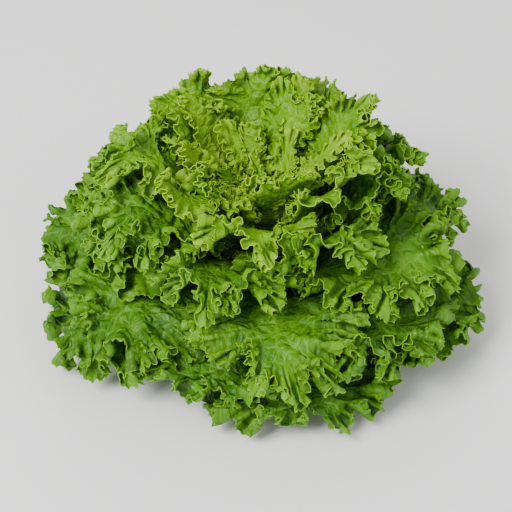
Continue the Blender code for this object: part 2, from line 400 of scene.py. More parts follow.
@dataclass
class LeafPlan:
    """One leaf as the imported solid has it: its number counts from outside, and its share is its layer."""

    head: HeadSizes
    blade: BladeSizes
    number: int
    share: float
    rng: np.random.Generator

    def __post_init__(self) -> None:
        """Draws the leaf's place, size and waves, in the order in which the solids draw them."""
        head, blade, rng = self.head, self.blade, self.rng
        self.tier, self.place = head.ring_place(self.number)
        self.root = head.shoot_root if self.tier is Tier.HEART else None
        jitter = rng.uniform(-head.spiral_jitter, head.spiral_jitter)
        self.azimuth = head.spiral_start + self.number * head.spiral_step + jitter
        self.length = rng.uniform(*blade.length_range)
        widest = float(at_share(blade.half_width, self.share))
        self.half_width = widest * rng.uniform(*blade.width_range)
        self.last_column = 2 * blade.waves[self.tier] + 1
        self.layer_length = head.layer_length(self.share)
        self.rims = {side: self.rim(side) for side in SIDES}
        self.measure()

    def rim(self, side: int) -> dict[str, Array]:
        """Draws the crests and troughs of one side.

        Args:
            side: -1 or 1.

        Returns:
            Where they fall along the rim, as shares, and how far each swings, up to 1.
        """
        rng, halves = self.rng, np.arange(1, self.last_column)
        stalk = self.blade.stalk_share
        lengths = rng.uniform(*self.blade.wave_lengths, len(halves))
        shares = stalk + (1 - stalk) * np.cumsum(lengths) / lengths.sum()
        swing = rng.uniform(*self.blade.wave_swings, len(halves)) * side * (-1.0) ** halves
        swing *= np.minimum(1, halves / self.blade.full_swing_after)
        swing[-1] = 0
        shares, swing = np.concatenate([[0, stalk], shares]), np.concatenate([[0, 0], swing])
        return {"shares": shares, "swing": swing}

    def measure(self) -> None:
        """Takes the outline in small steps: place along the leaf, beside the rib, and run along the rim."""
        steps = np.linspace(0, 1, self.blade.outline_steps)
        s = at_share(self.blade.outline_along, steps)
        x = np.clip(at_share(self.blade.outline_beside, steps), 0, None) * self.half_width
        run = np.hypot(np.diff(s) * self.layer_length, np.diff(x))
        self.steps_s, self.steps_x, self.steps_run = s, x, running(run)

    def half_angle(self) -> float:
        """Half of the angle that the leaf takes up round the axis at its widest."""
        r = self.head.layer_point(self.share, self.blade.widest_at, self.root)[0]
        return self.half_width / float(r)

    def turn(self, s: Array, x: Array) -> Array:
        """The angle round the axis of a point at s along the leaf and x beside its rib."""
        return self.azimuth + x / self.head.layer_point(self.share, s, self.root)[0]

    def rim_share(self, side: int, column: Array) -> Array:
        """The share of the rim's length at a column."""
        shares = self.rims[side]["shares"]
        return np.interp(column, np.arange(len(shares)), shares)

    def flat_place(self, side: int, column: Array, row: Array) -> Pair:
        """The place of grid points on the flat blade.

        Args:
            side: -1 or 1.
            column: from 0 at the root to the last at the tip.
            row: from 0 at the rib to 1 at the rim.

        Returns:
            Place along the leaf, as a share, and beside the rib, in metres.
        """
        run = self.steps_run / self.steps_run[-1]
        share = self.rim_share(side, column)
        s_rim, x_rim = np.interp(share, run, self.steps_s), np.interp(share, run, self.steps_x)
        slant, tip = self.blade.slant, self.blade.outline_along[-1]
        along = slant * column / self.last_column + (1 - slant) * s_rim / tip
        s_rib = self.blade.rib_end * along
        return self.length * (s_rib + (s_rim - s_rib) * row), side * x_rim * row

    def give_room(self, others: list["LeafPlan"]) -> None:
        """Scales the waves of both rims to the room that the other leaves leave.

        Args:
            others: all the other leaves.
        """
        for side, rim in self.rims.items():
            swing = rim["swing"]
            for column in range(len(swing)):
                rooms = [self.blade.widest_room]
                for row in self.blade.room_rows:
                    turn = self.turn(*self.flat_place(side, column, row))
                    gap = self.gap_at(float(turn), swing[column] > 0, others)
                    rooms.append(self.blade.room_used * gap / 2 / row**self.blade.ruffle_power)
                swing[column] *= min(rooms)

    def gap_at(self, turn: float, upward: bool, others: list["LeafPlan"]) -> float:
        """How far the next leaf is that reaches an angle round the axis, on one face.

        Args:
            turn: the angle.
            upward: whether to look towards the heart.
            others: the other leaves.

        Returns:
            The distance, in shares.
        """
        gaps = [math.inf]
        for other in others:
            apart = abs(math.remainder(other.azimuth - turn, math.tau))
            reach = other.half_angle() + self.blade.angle_margin
            if (other.share > self.share) == upward and apart < reach:
                gaps.append(abs(other.share - self.share))
        return min(gaps)


@dataclass
class MeshArrays:
    """A triangle mesh as arrays, with what its finish reads at each point."""

    points: Array
    faces: Array
    place: Array
    marks: Array
    # Painted shade: how deep each point lies in the hollows of the relief, which darkens its colour there.
    hollow: Array
    sharp: Array

    @staticmethod
    def joined(parts: list["MeshArrays"]) -> "MeshArrays":
        """Several meshes as one.

        Args:
            parts: the meshes.

        Returns:
            One mesh that holds them all.
        """
        names = [made.name for made in fields(MeshArrays)]
        arrays = {name: np.concatenate([getattr(part, name) for part in parts]) for name in names}
        starts = np.cumsum([0, *(len(part.points) for part in parts[:-1])])
        arrays["faces"] = np.concatenate([part.faces + start for part, start in zip(parts, starts)])
        return MeshArrays(**arrays)

    def to_object(self, name: str, material: bpy.types.Material) -> bpy.types.Object:
        """Makes a scene object.

        Args:
            name: its name.
            material: its finish.

        Returns:
            The object, linked to the scene.
        """
        data = bpy.data.meshes.new(name)
        data.vertices.add(len(self.points))
        data.vertices.foreach_set("co", self.points.astype(np.float32).ravel())
        data.loops.add(self.faces.size)
        data.loops.foreach_set("vertex_index", self.faces.astype(np.int32).ravel())
        data.polygons.add(len(self.faces))
        data.polygons.foreach_set("loop_start", np.arange(0, self.faces.size, 3, dtype=np.int32))
        data.update(calc_edges=True)
        for title, values in (("leaf_place", self.place), ("leaf_marks", self.marks)):
            layer = data.attributes.new(title, "FLOAT_VECTOR", "POINT")
            layer.data.foreach_set("vector", values.astype(np.float32).ravel())
        # The painted shade of the hollows, which the leaf finish reads.
        depth = data.attributes.new("leaf_hollow_shade", "FLOAT", "POINT")
        depth.data.foreach_set("value", self.hollow.astype(np.float32))
        ends = np.empty(2 * len(data.edges), np.int32)
        data.edges.foreach_get("vertices", ends)
        first, second = self.sharp[ends.reshape(-1, 2)].T
        edge = data.attributes.new("sharp_edge", "BOOLEAN", "EDGE")
        edge.data.foreach_set("value", (first > 0) & (first == second))
        data.materials.append(material)
        made = bpy.data.objects.new(name, data)
        bpy.context.scene.collection.objects.link(made)
        return made


def unit(vectors: Array) -> Array:
    """The vectors at length 1, save where they have none."""
    return vectors / np.maximum(np.linalg.norm(vectors, axis=1, keepdims=True), 1e-12)


def running(steps: Array) -> Array:
    """The distance run before and after each step."""
    return np.concatenate([[0], np.cumsum(steps)])


def vertex_normals(points: Array, faces: Array) -> Array:
    """Unit normals at the points of a triangle mesh.

    Args:
        points: the points.
        faces: the triangles.

    Returns:
        One normal for each point.
    """
    corners = points[faces]
    across = np.cross(corners[:, 1] - corners[:, 0], corners[:, 2] - corners[:, 0])
    axes = (sum(np.bincount(column, part, len(points)) for column in faces.T) for part in across.T)
    return unit(np.stack(list(axes), -1))


@dataclass
class FineLeaf:
    """A leaf with its frilled margin, puffed blade, veins and rib."""

    plan: LeafPlan
    sizes: FrillSizes
    net: NetSizes

    def __post_init__(self) -> None:
        """Draws the leaf's vigour and lean, and measures its rims."""
        plan, sizes = self.plan, self.sizes
        rng = np.random.default_rng([plan.head.seed, plan.number])
        widest = plan.blade.half_width[0]
        self.scale = min(1.0, sizes.least_scale + (1 - sizes.least_scale) * plan.half_width / widest)
        self.vigour = rng.uniform(*sizes.vigour)
        free = ramp(plan.share, *sizes.lean_from) * (1 - ramp(plan.share, *sizes.lean_to))
        self.lean = rng.uniform(*sizes.lean) * float(free)
        self.dense = np.linspace(0, plan.last_column, self.net.dense * plan.last_column + 1)
        self.lengths = {side: self.rim_lengths(side) for side in SIDES}

    def rim_lengths(self, side: int) -> Pair:
        """Measures the ruffled rim of one side.

        Args:
            side: -1 or 1.

        Returns:
            The distance along the rim up to each dense column, and a share that rises evenly with it,
            but slowly by the hidden root.
        """
        ones = np.ones_like(self.dense)
        s, x, swing, _ = self.flat(side, self.dense, ones)
        steps = np.linalg.norm(np.diff(self.surface(s, x, swing), axis=0), axis=1)
        hidden = self.dense[1:] < self.sizes.hidden_columns * self.plan.last_column
        weighed = steps * np.where(hidden, self.sizes.hidden_weight, 1.0)
        run, even = (running(part) for part in (steps, weighed))
        return run, even / even[-1]

    def column_at(self, side: int, even: Array, row: float) -> Array:
        """The columns of a row's points, which stand evenly along the rim and share the rib.

        Args:
            side: -1 or 1.
            even: even shares of the row.
            row: from 0 at the rib to 1 at the rim.

        Returns:
            The columns.
        """
        own, other = (np.interp(even, self.lengths[way][1], self.dense) for way in (side, -side))
        apart = float(ramp(row, 0.0, self.net.zones[1]))
        return own + (1 - apart) * (other - own) / 2

    def grid(self) -> None:
        """Lays out the points of the blade, with finer columns towards the rim, and its triangles.

        Each point gets its side, row and column, its place s along the leaf as a share and u in metres,
        its place x beside the rib, its swing across the layers and its distance from the rim.
        """
        net, last = self.net, self.plan.last_column
        rows, steps = [0.0], [net.steps[0]]
        for low, high, count, step in zip(net.zones, net.zones[1:], net.rows, net.steps):
            rows += [float(row) for row in np.linspace(low, high, count + 1)[1:]]
            steps += [step] * count
        total = len(rows)
        sides, heights = [np.zeros(total)], [np.array(rows)]
        columns, faces = [np.full(total, float(last))], []
        self.ids = {-1: [], 1: []}
        for side in SIDES:
            for index, (row, step) in enumerate(zip(rows, steps)):
                count = last * step
                if index == 0 and side > 0:
                    self.ids[side].append(self.ids[-side][0])
                    continue
                self.ids[side].append(np.append(np.arange(total, total + count), index))
                total += count
                sides.append(np.full(count, side if index else 0))
                columns.append(self.column_at(side, np.arange(count) / count, row))
                heights.append(np.full(count, row))
            for inner, outer in zip(self.ids[side][:-1], self.ids[side][1:]):
                faces.append(self.strip(inner, outer, side))
        self.side, self.row = np.concatenate(sides), np.concatenate(heights)
        self.column, self.faces = np.concatenate(columns), np.concatenate(faces)
        places = np.zeros((4, total))
        for side in SIDES:
            mine = (self.side == side) | ((self.side == 0) & (side == 1))
            places[:, mine] = self.flat(side, self.column[mine], self.row[mine])
        self.s, self.x, self.swing, self.rim = places
        self.u = self.s * self.plan.layer_length
        right, left = self.ids[1][-1], self.ids[-1][-1]
        root = [[ids[0] for ids in self.ids[side]] for side in SIDES]
        ring = [right, left[-2::-1], root[0][-2::-1], root[1][1:-1]]
        self.ring = np.concatenate(ring).astype(int)

    @staticmethod
    def strip(inner: Array, outer: Array, side: int) -> Array:
        """Triangles between two rows, where the outer has as many steps as the inner or twice as many.

        Args:
            inner: the points of the row nearer the rib.
            outer: the points of the row nearer the rim.
            side: which way round the triangles go.

        Returns:
            The triangles.
        """
        a, b = inner[:-1], inner[1:]
        if len(outer) == len(inner):
            c, d = outer[:-1], outer[1:]
            made = np.concatenate([np.stack([a, b, d], -1), np.stack([a, d, c], -1)])
        else:
            c, m, d = outer[:-1:2], outer[1::2], outer[2::2]
            trio = ([a, m, c], [a, b, m], [b, d, m])
            made = np.concatenate([np.stack(corners, -1) for corners in trio])
        return made if side < 0 else made[:, ::-1]

    def wobble(self, run: Array, length: float, kind: RimNoise) -> Array:
        """Noise along the rim with bumps about as long as length."""
        return noise(run / length, np.full_like(run, 0.37 + kind.value), self.plan.number * 7 + kind.value)

    def cloud(self, length: float, kind: BladeNoise, bend: Values = 0.0) -> Array:
        """Noise over the blade with bumps about as long as length, moved aslant by bend."""
        u, v = (self.u + bend) / length, (self.x - bend) / length
        return noise(u, v, self.plan.number * 13 + kind.value)

    def free(self, column: Array) -> Array:
        """How far columns are clear of the root, from 0 to 1."""
        return ramp(column, 1.0, 4.0)

    def raised(self, points: Array, height: Array) -> Array:
        """The points moved along their normals by a height."""
        return points + vertex_normals(points, self.faces) * height[:, None]

    def flat(self, side: int, column: Array, row: Array) -> tuple[Array, ...]:
        """Places grid points on the flat blade, with the rim's lobes and bays and the overhang of waves.

        Args:
            side: -1 or 1.
            column: from root to tip.
            row: from rib to rim.

        Returns:
            Place along the leaf, beside the rib, swing across the layers and distance from the rim.
        """
        plan, sizes = self.plan, self.sizes
        last, total = plan.last_column, plan.steps_run[-1]
        run = plan.rim_share(side, column) * total
        around = run if side < 0 else 2 * total - run
        free = ramp(column, 1.0, 3.0) * ramp(last - column, 0.0, 1.0)
        sag = sizes.meander * self.vigour * free * ramp(row, 0.35, 1.0)
        shifted = np.clip(column + sag * np.sin(math.tau * column), 0, last)
        lobes = 0.5 + 0.5 * self.wobble(around, sizes.lobe_length * self.scale, RimNoise.LOBE)
        bays = ramp(self.wobble(around, sizes.bay_length * self.scale, RimNoise.BAY), 0.05, 0.75)
        cut = sizes.lobe_depth * lobes * ramp(row, 0.55, 1.0)
        cut = cut + sizes.bay_depth * bays * ramp(row, 0.25, 1.0)
        cut = cut * self.scale * self.free(column)
        reach = self.reach(side, shifted)
        s, x = plan.flat_place(side, shifted, row - np.minimum(cut / reach, 0.4 * row))
        swings = plan.rims[side]["swing"]
        start = np.clip(np.floor(column).astype(int), 0, last - 1)
        t = column - start
        swing = swings[start] + (swings[start + 1] - swings[start]) * t * t * (3 - 2 * t)
        swing = sizes.ruffle_gain * swing * row**plan.blade.ruffle_power
        return s, x, swing, reach * (1 - row)

    def reach(self, side: int, column: Array) -> Array:
        """Measures the flat blade from the rib to the rim.

        Args:
            side: -1 or 1.
            column: from root to tip.

        Returns:
            The distance at each column, in metres.
        """
        low, _ = self.plan.flat_place(side, column, np.zeros_like(column))
        high, beside = self.plan.flat_place(side, column, np.ones_like(column))
        return np.maximum(np.hypot((high - low) * self.plan.layer_length, beside), 0.002)

    def surface(self, s: Array, x: Array, swing: Array) -> Array:
        """Points of the ruffled blade before its fine relief.

        Args:
            s: place along the leaf.
            x: place beside the rib, in metres.
            swing: distance across the layers, in shares.

        Returns:
            The points.
        """
        plan = self.plan
        share = plan.share + swing + self.lean * np.clip(s, 0, 1) ** 3
        r, z = plan.head.layer_point(share, s, plan.root)
        turn = plan.turn(s, x)
        depth = 1 - plan.head.squash * r / plan.head.radius
        return np.stack([r * np.cos(turn), depth * r * np.sin(turn), z], -1)

    def around(self, runs: dict[int, Pair]) -> Array:
        """The distance of every point round the rim, from one end of the root past the tip to the other.

        Args:
            runs: for each side, columns and the distance along its rim up to each.

        Returns:
            The distances, in metres.
        """
        (left, left_run), (right, right_run) = runs[-1], runs[1]
        low = np.interp(self.column, left, left_run)
        high = left_run[-1] + right_run[-1] - np.interp(self.column, right, right_run)
        return np.where(self.side < 0, low, high)

    def tangents(self, points: Array) -> Array:
        """Finds which way the rows run, in the sense in which around grows.

        Args:
            points: the blade.

        Returns:
            A unit vector at each point, or nothing on the rib.
        """
        made = np.zeros_like(points)
        for side in SIDES:
            for ids in self.ids[side][1:]:
                made[ids] = -side * np.gradient(points[ids], axis=0)
        return unit(made)

    def frilled(self, points: Array) -> Pair:
        """Adds the frills of the margin, which fold over in loops.

        Args:
            points: the ruffled blade.

        Returns:
            The points, and the height of the frills at each as a share of the largest.
        """
        sizes, free = self.sizes, self.free(self.column)
        around = self.around({side: (self.dense, self.lengths[side][0]) for side in SIDES})
        length = sizes.frill_length * self.scale
        phase = around / length + 0.7 * self.wobble(around, sizes.frill_wander, RimNoise.FRILL_PLACE)
        late = sizes.frill_lag * self.cloud(sizes.frill_lag_length, BladeNoise.FRILL_LAG)
        strength = 0.85 + 0.45 * self.wobble(around, sizes.frill_swell, RimNoise.FRILL_HEIGHT)
        strength = strength * self.vigour
        lift = np.sin(math.tau * (phase + late)) * strength * free
        lift = lift * ramp(self.row, sizes.frill_from, 0.95) ** sizes.frill_power
        loop = np.sin(2 * math.tau * phase) * free * ramp(self.row, 0.5, 0.95)
        along = -sizes.frill_meander * length * loop
        raised = self.raised(points, sizes.frill_height * self.scale * lift)
        return raised + self.tangents(points) * along[:, None], lift

    def curled(self, points: Array) -> Pair:
        """Adds the small curls and the teeth of the rim.

        Args:
            points: the frilled blade.

        Returns:
            The points, and the height of the curls at each as a share of the largest.
        """
        sizes, runs = self.sizes, {}
        for side in SIDES:
            rim = self.ids[side][-1]
            steps = np.linalg.norm(np.diff(points[rim], axis=0), axis=1)
            runs[side] = (self.column[rim], running(steps))
        around = self.around(runs)
        free = self.free(self.column)
        phase = 0.8 * self.wobble(around, sizes.curl_wander, RimNoise.CURL_PLACE)
        phase = around / (sizes.curl_length * self.scale) + phase
        strength = 0.7 + 0.5 * self.wobble(around, sizes.curl_swell, RimNoise.CURL_HEIGHT)
        lift = np.sin(math.tau * phase) * strength
        lift = lift * free * ramp(self.row, sizes.curl_from, 1.0)
        points = self.raised(points, sizes.curl_height * self.scale * lift)
        teeth = np.abs(np.sin(math.pi * around / (sizes.tooth_length * self.scale))) ** 1.2
        size = 0.9 + 0.6 * self.wobble(around, sizes.tooth_swell, RimNoise.TOOTH)
        size = size * self.scale * free
        cut = sizes.tooth_depth * teeth * size
        first = 1 + sum(self.net.rows[:-1])
        for side in SIDES:
            base, rim = points[self.ids[side][first]], self.ids[side][-1]
            reach = np.maximum(np.linalg.norm(points[rim] - base, axis=1), 1e-5)
            keep = 1 - np.minimum(cut[rim] / reach, 0.75)
            for ids in self.ids[side][first + 1 :]:
                points[ids] = base + (points[ids] - base) * keep[:, None]
        return points, lift

    def puffs(self) -> Array:
        """Works out the puffs between the veins.

        Returns:
            Their heights as a share of the largest.
        """
        length = self.sizes.puff_length * (0.6 + 0.4 * self.scale)
        bend = 0.35 * length * self.cloud(self.sizes.puff_bend, BladeNoise.PUFF_BEND)
        puff = np.abs(self.cloud(length, BladeNoise.PUFF, bend))
        puff += 0.45 * np.abs(self.cloud(length / 2.1, BladeNoise.SMALL_PUFF))
        beside = np.abs(self.x)
        vein = self.s - 0.30 * (beside / self.plan.half_width) ** 0.9
        between = np.abs(np.sin(math.pi * self.sizes.side_veins * vein))
        puff = puff * (0.35 + 0.65 * between**0.6) * ramp(beside, 0.002, 0.012) * ramp(self.s, 0.18, 0.5)
        return puff * (1 - 0.45 * ramp(self.row, 0.8, 1.0))

    def above_floor(self, height: Array) -> Array:
        """Heights bent clear of the floor, higher points hardly at all."""
        lifted = 0.5 * (height + np.sqrt(height**2 + self.plan.blade.floor_softness**2))
        return np.maximum(lifted, self.plan.blade.floor_gap)

    def shape(self) -> MeshArrays:
        """Works out the closed blade.

        Returns:
            The mesh, with the places and marks that its finish reads.
        """
        self.grid()
        sizes, puff = self.sizes, self.puffs()
        sway = self.cloud(sizes.sway_length, BladeNoise.SWAY) * sizes.sway_height * self.scale
        points = self.surface(self.s, self.x, self.swing)
        points = self.raised(points, sway * ramp(self.s, 0.2, 0.6))
        points, frill = self.frilled(points)
        points, curl = self.curled(points)
        points = self.raised(points, puff * sizes.puff_height * self.scale)
        points[:, 2] = self.above_floor(points[:, 2])
        # Painted shade: the hollows between frills, curls and puffs get a darker colour and their crests a
        # lighter one, in place of the shade that falls there.
        hollow = 0.5 - 0.30 * frill - 0.16 * curl - 0.30 * (puff - puff.mean())
        return self.closed(points, hollow)

    def closed(self, points: Array, hollow: Array) -> MeshArrays:
        """Gives the blade its thickness, its rib and its edge.

        Args:
            points: the middle of the blade.
            hollow: how deep each point lies in the hollows of the upper face, which sets the painted shade
                there.

        Returns:
            The closed mesh.
        """
        plan, sizes = self.plan, self.sizes
        count = len(points)
        normals = vertex_normals(points, self.faces)
        along = np.clip(self.s / plan.blade.rib_end, 0, 1)
        thick, thin = sizes.rib_shares
        width = sizes.rib_width * self.scale * (thick + (thin - thick) * along)
        rib = np.exp(-((self.x / width) ** 2)) * (1 - ramp(along, 0.85, 1.0))
        grow = self.scale * (1 - 0.75 * along)
        upper = points + normals * (sizes.blade / 2 - rib * sizes.rib_dip * grow)[:, None]
        lower = points - normals * (sizes.blade / 2 + rib * sizes.rib_depth * grow)[:, None]
        lower[:, 2] = np.maximum(lower[:, 2], plan.blade.floor_gap / 2)
        place = np.stack([self.u, self.x, np.full(count, plan.number * 0.5)], -1) * 1000
        marks = np.stack([along, self.row, self.rim * 1000], -1)
        after = np.roll(self.ring, -1)
        low = np.stack([self.ring, after + count, after], -1)
        wall = np.concatenate([low, np.stack([self.ring, self.ring + count, after + count], -1)])
        sharp = np.zeros(2 * count, np.int8)
        sharp[self.ring], sharp[self.ring + count] = 1, 2
        return MeshArrays(
            np.concatenate([upper, lower]),
            np.concatenate([self.faces, self.faces[:, ::-1] + count, wall]),
            np.concatenate([place, place]),
            np.concatenate([marks, marks]),
            # painted shade, reversed on the lower face, whose hollows are the crests of the upper one
            np.concatenate([hollow, 1 - hollow]),
            sharp,
        )


class Wire:
    """A shader socket that adds Math nodes when it stands in an expression."""

    def __init__(self, paint: "Paint", socket: bpy.types.NodeSocket) -> None:
        """Holds the socket and the paint that its nodes are added to."""
        self.paint, self.socket = paint, socket

    def math(self, operation: Sum, *others: "Wire | float") -> "Wire":
        """Adds a Math node.

        Args:
            operation: what it works out.
            others: the values after this one.

        Returns:
            Its result.
        """
        values = dict(enumerate((self, *others)))
        return self.paint.node("ShaderNodeMath", {"operation": operation.value}, values)

    def __add__(self, other: "Wire | float") -> "Wire":
        """The sum."""
        return self.math(Sum.ADD, other)

    __radd__ = __add__

    def __sub__(self, other: "Wire | float") -> "Wire":
        """The difference."""
        return self.math(Sum.SUBTRACT, other)

    def __rsub__(self, other: float) -> "Wire":
        """The difference from a number."""
        return self.math(Sum.MULTIPLY_ADD, -1.0, other)

    def __mul__(self, other: "Wire | float") -> "Wire":
        """The product."""
        return self.math(Sum.MULTIPLY, other)

    __rmul__ = __mul__

    def __truediv__(self, other: "Wire | float") -> "Wire":
        """The quotient."""
        return self.math(Sum.DIVIDE, other)

    def __pow__(self, other: float) -> "Wire":
        """The power."""
        return self.math(Sum.POWER, other)

    def __abs__(self) -> "Wire":
        """The size without its sign."""
        return self.math(Sum.ABSOLUTE)


class Paint:
    """A material whose nodes are added one expression at a time."""

    def __init__(self, name: str) -> None:
        """Starts an empty material.

        Args:
            name: its name.
        """
        self.material = bpy.data.materials.new(name)
        self.material.use_nodes = True
        self.tree = self.material.node_tree
        self.tree.nodes.clear()

    def add(self, kind: str, settings: Settings, inputs: Inputs) -> bpy.types.Node:
        """Adds a node.

        Args:
            kind: the node's type.
            settings: its own settings.
            inputs: the values or links of its sockets.

        Returns:
            The node.
        """
        made = self.tree.nodes.new(kind)
        for key, value in settings.items():
            setattr(made, key, value)
        for key, value in inputs.items():
            if isinstance(value, Wire):
                self.tree.links.new(value.socket, made.inputs[key])
            else:
                made.inputs[key].default_value = value
        return made

    def node(self, kind: str, settings: Settings, inputs: Inputs, output: int = 0) -> Wire:
        """Adds a node and reads one of its outputs.

        Args:
            kind: the node's type.
            settings: its own settings.
            inputs: the values or links of its sockets.
            output: which output to read.

        Returns:
            That output.
        """
        return Wire(self, self.add(kind, settings, inputs).outputs[output])

    def attribute(self, name: str, output: int = 1) -> Wire:
        """What the mesh holds under a name: output 1 is its vector, and 2 its number."""
        return self.node("ShaderNodeAttribute", {"attribute_name": name}, {}, output)

    def axes(self, vector: Wire) -> tuple[Wire, Wire, Wire]:
        """The three numbers of a vector."""
        parts = self.add("ShaderNodeSeparateXYZ", {}, {0: vector}).outputs
        return Wire(self, parts[0]), Wire(self, parts[1]), Wire(self, parts[2])

    def rise(self, value: Wire, low: float, high: float) -> Wire:
        """A smooth rise from 0 at low to 1 at high."""
        smooth = {"interpolation_type": "SMOOTHSTEP"}
        return self.node("ShaderNodeMapRange", smooth, {0: value, 1: low, 2: high})

    def cloud(self, vector: Wire, scale: float, detail: float = 2.0) -> Wire:
        """Soft noise, from 0 to 1."""
        return self.node("ShaderNodeTexNoise", {}, {"Vector": vector, "Scale": scale, "Detail": detail})

    def cells(self, vector: Wire, scale: float) -> Wire:
        """The distance to the nearest border between cells."""
        borders = {"feature": "DISTANCE_TO_EDGE"}
        return self.node("ShaderNodeTexVoronoi", borders, {"Vector": vector, "Scale": scale})

    def mix(self, factor: Wire | float, low: Wire | Colour, high: Wire | Colour) -> Wire:
        """One colour laid over another.

        Args:
            factor: how much of the second shows.
            low: the first colour.
            high: the second colour.

        Returns:
            The colour.
        """
        low, high = (c if isinstance(c, Wire) else (*c, 1.0) for c in (low, high))
        return self.node("ShaderNodeMix", {"data_type": "RGBA"}, {0: factor, 6: low, 7: high}, 2)

    def bump(self, height: Wire, strength: float, distance: float) -> Wire:
        """A normal that follows a height."""
        inputs = {"Height": height, "Strength": strength, "Distance": distance}
        return self.node("ShaderNodeBump", {}, inputs)

    def finish(self, surface: Wire) -> bpy.types.Material:
        """Ends the material with its surface."""
        self.add("ShaderNodeOutputMaterial", {}, {"Surface": surface})
        return self.material


@dataclass(frozen=True)
class LeafFinish:
    """The finish of one ring of leaves: living blade, paler rib, veins and rim, painted shade in the
    hollows of the relief, and a waxy gloss.
    """

    name: str
    deep: Colour
    fresh: Colour
    bright: Colour
    rim: Colour
    vein: Colour
    stalk: Colour
    glow: Colour
    wax: Colour = (0.140, 0.350, 0.045)
    glow_share: float = 0.20
    roughness: float = 0.36
    bump: float = 0.7
    bump_height: float = 0.0022
    tone_scale: float = 0.035
    speck_scale: float = 0.35
    patch_scale: float = 0.010
    net_scale: float = 0.14
    fine_net_scale: float = 0.40

    def material(self, sizes: FrillSizes) -> bpy.types.Material:
        """Builds the material.

        Args:
            sizes: the fine relief, whose veins the colours follow.

        Returns:
            The material.
        """
        paint = Paint(self.name)
        place = paint.attribute("leaf_place")
        along, row, rim = paint.axes(paint.attribute("leaf_marks"))
        beside = paint.axes(place)[1]
        speck = paint.cloud(place, self.speck_scale, 4.0)
        wide, small = paint.cells(place, self.net_scale), paint.cells(place, self.fine_net_scale)
        net = (1 - paint.rise(wide, 0.0, 0.07)) * 0.32 + (1 - paint.rise(small, 0.0, 0.09)) * 0.08
        # Painted shade: the hollows of the relief, marked on the mesh, darken towards half the deep green.
        hollow = paint.rise(paint.attribute("leaf_hollow_shade", 2), 0.42, 0.95)
        rib = self.rib(paint, along, beside, 1000 * sizes.rib_width)
        layers = (
            (paint.rise(paint.cloud(place, self.tone_scale, 3.0), 0.32, 0.66), self.fresh),
            (paint.rise(paint.cloud(place, self.patch_scale, 1.0), 0.50, 0.68) * 0.45, self.wax),
            (paint.rise(row, 0.50, 1.0) * 0.50, self.bright),
            (paint.rise(speck, 0.35, 0.75) * 0.30, self.bright),
            (net * (1 - paint.rise(row, 0.70, 1.0) * 0.75), self.vein),
            (self.side_veins(paint, along, beside, sizes.side_veins) * 0.55, self.vein),
            # painted shade in the hollows of the relief
            (hollow * 0.80, tuple(0.50 * part for part in self.deep)),
            (rib, self.stalk),
            ((1 - paint.rise(along, 0.10, 0.42)) * 0.85, self.stalk),
            ((1 - paint.rise(rim, 0.05, 0.75)) * 0.90, self.rim),
        )
        body = self.deep
        for mask, colour in layers:
            body = paint.mix(mask, body, colour)
        puffs = paint.rise(wide, 0.0, 0.45) + paint.rise(small, 0.0, 0.40) * 0.18
        normal = paint.bump(puffs + speck * 0.10, self.bump, self.bump_height)
        rough = self.roughness + speck * 0.16 - rib * 0.06
        gloss = {"Specular IOR Level": 0.30, "Coat Weight": 0.03, "Coat Roughness": 0.20}
        varied = {"Base Color": body, "Roughness": rough, "Normal": normal}
        surface = paint.node("ShaderNodeBsdfPrincipled", {}, {**varied, **gloss})
        glow = paint.node("ShaderNodeBsdfTranslucent", {}, {"Color": (*self.glow, 1.0)})
        mixed = paint.node("ShaderNodeMixShader", {}, {0: self.glow_share, 1: surface, 2: glow})
        return paint.finish(mixed)

    @staticmethod
    def rib(paint: Paint, along: Wire, beside: Wire, width: float) -> Wire:
        """The mask of the rib, which narrows towards the tip."""
        near = 1 - paint.rise(abs(beside) / (width * (0.9 - along * 0.8) + 0.25), 0.25, 1.0)
        return near * (1 - paint.rise(along, 0.45, 0.98)) * 0.8

    @staticmethod
    def side_veins(paint: Paint, along: Wire, beside: Wire, veins: int) -> Wire:
        """Masks the side veins, which leave the rib and bend towards the tip.

        Args:
            paint: the material.
            along: the place along the rib, from 0 to 1.
            beside: the distance beside it, in millimetres.
            veins: how many there are on each side.

        Returns:
            The mask.
        """
        count = (along * 0.84 - (abs(beside) / 66.0) ** 0.9 * 0.30) * veins
        off = abs(count.math(Sum.FRACTION) - 0.5) * 2
        return paint.rise(off, 0.90, 1.0) * (1 - paint.rise(abs(beside), 18.0, 58.0) * 0.8)


@dataclass(frozen=True)
class StemFinish:
    """Cream stem flesh with green streaks up its sides and a browned cut face."""

    name: str = "stem_cream"
    flesh: Colour = (0.66, 0.70, 0.44)
    streak: Colour = (0.42, 0.52, 0.20)
    cut: Colour = (0.50, 0.33, 0.14)
    pith: Colour = (0.80, 0.78, 0.58)

    def material(self, sizes: StemSizes) -> bpy.types.Material:
        """Builds the material.

        Args:
            sizes: the stem, whose cut face browns.

        Returns:
            The material.
        """
        paint = Paint(self.name)
        spot = paint.node("ShaderNodeTexCoord", {}, {}, 3)
        x, y, z = paint.axes(spot)
        out = (x * x + y * y) ** 0.5
        times = {"operation": Sum.MULTIPLY.value}
        stretched = paint.node("ShaderNodeVectorMath", times, {0: spot, 1: (1.0, 1.0, 0.12)})
        streaks = paint.cloud(stretched, 900.0, 3.0)
        body = paint.mix(paint.rise(streaks, 0.42, 0.68) * 0.8, self.flesh, self.streak)
        cut = 1 - paint.rise(z, 0.0004, 0.0030)
        rings = paint.cloud(spot, 420.0, 4.0)
        brown = paint.mix(paint.rise(rings, 0.35, 0.7), self.cut, self.pith)
        middle = 1 - paint.rise(out, sizes.radius * 0.35, sizes.radius * 0.75)
        brown = paint.mix(middle * 0.7, brown, self.pith)
        body = paint.mix(cut, body, brown)
        normal = paint.bump(streaks + rings * 0.5, 0.4, 0.0008)
        varied = {"Base Color": body, "Roughness": 0.42 + rings * 0.25, "Normal": normal}
        gloss = {"Specular IOR Level": 0.45}
        return paint.finish(paint.node("ShaderNodeBsdfPrincipled", {}, {**varied, **gloss}))


